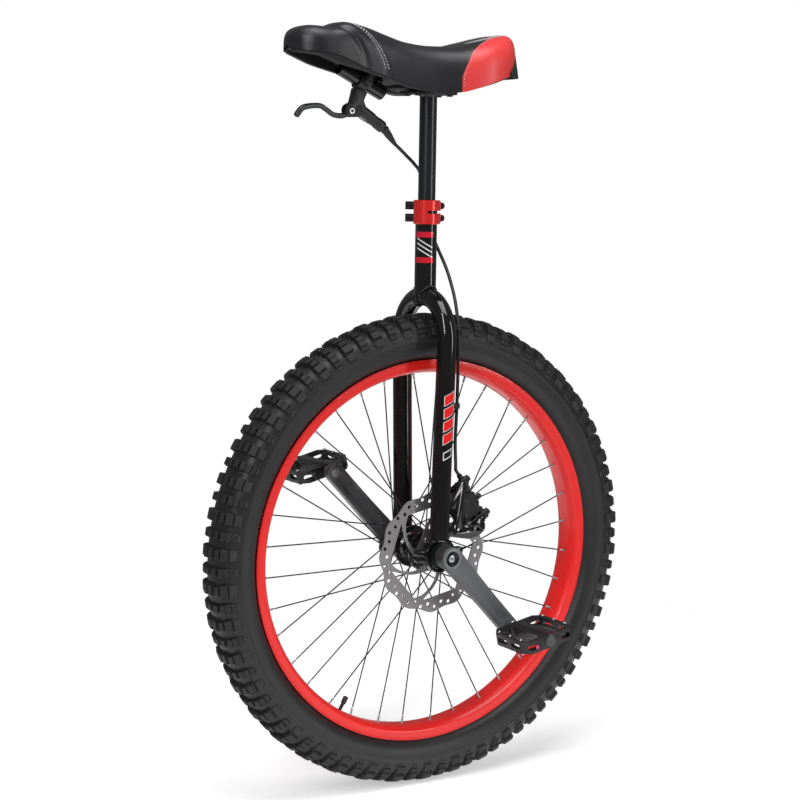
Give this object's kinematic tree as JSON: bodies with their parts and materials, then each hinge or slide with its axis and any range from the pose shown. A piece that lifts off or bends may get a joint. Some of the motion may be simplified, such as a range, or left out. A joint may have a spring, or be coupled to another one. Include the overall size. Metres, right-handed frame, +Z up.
{
  "type": "unicycle",
  "caption": "Off-road unicycle with a knobbly tyre, red rim, spoked wheel, disc brake with a lever under the saddle's nose, and platform pedals.",
  "frame": {"origin": "on the ground, under the middle of the axle", "axes": "+X to the rider's front, +Y to the rider's left, +Z up"},
  "size_m": [0.704, 0.3916, 1.116],
  "materials": {
    "frame_paint": "gloss",
    "black_alloy": "satin",
    "red_alloy": "gloss",
    "crank_grey": "satin",
    "black_steel": "satin",
    "steel": "satin",
    "black_plastic": "satin",
    "rubber": "matte",
    "tyre_rubber": "matte",
    "saddle_vinyl": "satin",
    "foam": "matte"
  },
  "bodies": {
    "frame": {"seat_tube": "frame_paint", "left_leg": "frame_paint", "right_leg": "frame_paint", "left_bearing_housing": "frame_paint", "right_bearing_housing": "frame_paint", "left_bearing_cap": "frame_paint", "right_bearing_cap": "frame_paint", "left_outer_race": "steel", "right_outer_race": "steel", "left_front_cap_bolt": "steel", "left_rear_cap_bolt": "steel", "right_front_cap_bolt": "steel", "right_rear_cap_bolt": "steel", "seat_clamp": "red_alloy", "upper_clamp_bolt": "black_steel", "lower_clamp_bolt": "black_steel", "caliper_bracket": "frame_paint", "caliper_body": "black_alloy", "upper_caliper_bolt": "black_steel", "lower_caliper_bolt": "black_steel", "upper_hose_clip": "black_plastic", "lower_hose_clip": "black_plastic", "brake_hose": "rubber"},
    "seat": {"seatpost": "black_alloy", "saddle_base": "black_plastic", "saddle_foam": "foam", "saddle_cover": "saddle_vinyl", "rear_bumper": "black_plastic", "brake_bar": "black_alloy", "lever_clamp": "black_alloy", "lever_clamp_bolt": "steel", "master_cylinder": "black_alloy", "lever_pivot": "steel", "hose_boot": "rubber"},
    "lever": {"brake_lever": "crank_grey"},
    "piston": {"master_piston": "steel"},
    "inner_pad": {"inner_brake_pad": "black_steel"},
    "outer_pad": {"outer_brake_pad": "black_steel"},
    "wheel": {"tyre": "tyre_rubber", "inner_tube": "rubber", "rim": "red_alloy", "rim_tape": "rubber", "left_spokes": "black_steel", "right_spokes": "black_steel", "hub_shell": "black_alloy", "axle": "steel", "brake_rotor": "steel", "left_crank": "crank_grey", "right_crank": "crank_grey", "left_crank_bolt": "steel", "right_crank_bolt": "steel", "left_inner_race": "steel", "right_inner_race": "steel", "left_spacer": "black_alloy", "right_spacer": "black_alloy", "left_pedal_axle": "steel", "right_pedal_axle": "steel", "valve_stem": "steel"},
    "left_pedal_body": {"left_pedal": "black_plastic"},
    "right_pedal_body": {"right_pedal": "black_plastic"}
  },
  "joints": [
    {"name": "wheel_spin", "type": "hinge", "parent": "frame", "child": "wheel", "pos_m": [0, 0, 0.352], "axis": [0, 1, 0], "continuous": true},
    {"name": "left_pedal_spin", "type": "hinge", "parent": "wheel", "child": "left_pedal_body", "pos_m": [-0.1023, 0.15, 0.2423], "axis": [0, 1, 0], "continuous": true},
    {"name": "right_pedal_spin", "type": "hinge", "parent": "wheel", "child": "right_pedal_body", "pos_m": [0.1023, -0.15, 0.4617], "axis": [0, 1, 0], "continuous": true},
    {"name": "seat_height", "type": "slide", "parent": "frame", "child": "seat", "axis": [0, 0, 1], "range_m": [-0.045, 0.035], "deforming": ["brake_hose"]},
    {"name": "brake_lever_pull", "type": "hinge", "parent": "seat", "child": "lever", "pos_m": [0.1322, 0, 0.993], "axis": [0, -1, 0], "range_deg": [0, 18], "stiffness_Nm_per_rad": 0.6, "springref_deg": -5.73},
    {"name": "master_piston_push", "type": "slide", "parent": "seat", "child": "piston", "axis": [-0.8448, 0, -0.5351], "range_m": [0, 0.006]},
    {"name": "inner_pad_press", "type": "slide", "parent": "frame", "child": "inner_pad", "axis": [0, 1, 0], "range_m": [0, 0.0004]},
    {"name": "outer_pad_press", "type": "slide", "parent": "frame", "child": "outer_pad", "axis": [0, -1, 0], "range_m": [0, 0.0004]}
  ],
  "couplings": [
    {"joint": "master_piston_push", "follows": "brake_lever_pull", "m_per_rad": 0.019},
    {"joint": "inner_pad_press", "follows": "brake_lever_pull", "m_per_rad": 0.00127},
    {"joint": "outer_pad_press", "follows": "brake_lever_pull", "m_per_rad": 0.00127}
  ]
}
